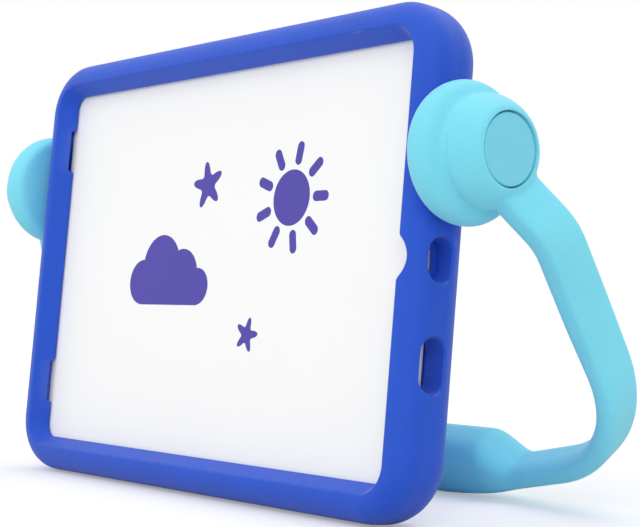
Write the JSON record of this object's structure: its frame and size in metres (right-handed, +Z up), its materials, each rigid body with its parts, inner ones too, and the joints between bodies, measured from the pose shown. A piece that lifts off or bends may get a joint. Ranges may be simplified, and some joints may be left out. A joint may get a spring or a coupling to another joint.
{
  "type": "children's tablet case with a swing handle",
  "caption": "Moulded foam tablet case leaning back on its swing handle, with round double-dome hubs and a white display slab in the window.",
  "frame": {"origin": "on the floor under the middle of the whole thing as it stands", "axes": "+X to the viewer's right along the pivot axis, +Y towards the back and the handle's bar, +Z up"},
  "size_m": [0.3484, 0.114, 0.1947],
  "materials": {
    "blue_foam": "matte closed-cell foam with a faint fine skin",
    "sky_foam": "matte closed-cell foam with a faint fine skin",
    "sky_cap": "moulded cap, slightly smoother than the foam",
    "white_shell": "smooth white with a printed pattern",
    "plain_steel": "plain zinc plated",
    "plain_nylon": "natural"
  },
  "bodies": {
    "case": {"case_shell": "blue_foam", "display_slab": "white_shell", "anchor_plate_left": "plain_steel", "anchor_plate_right": "plain_steel", "wall_washer_left": "plain_nylon", "wall_washer_right": "plain_nylon", "head_washer_left": "plain_steel", "head_washer_right": "plain_steel", "pivot_screw_left": "plain_steel", "pivot_screw_right": "plain_steel"},
    "handle_arm": {"handle": "sky_foam", "hub_bush_left": "plain_nylon", "hub_bush_right": "plain_nylon", "hub_cap_left": "sky_cap", "hub_cap_right": "sky_cap"}
  },
  "joints": [
    {"name": "handle_hinge", "type": "hinge", "parent": "case", "child": "handle_arm", "pos_m": [0, -0.03019, 0.13566], "axis": [1, 0, 0], "range_deg": [-24.5, 310]}
  ]
}
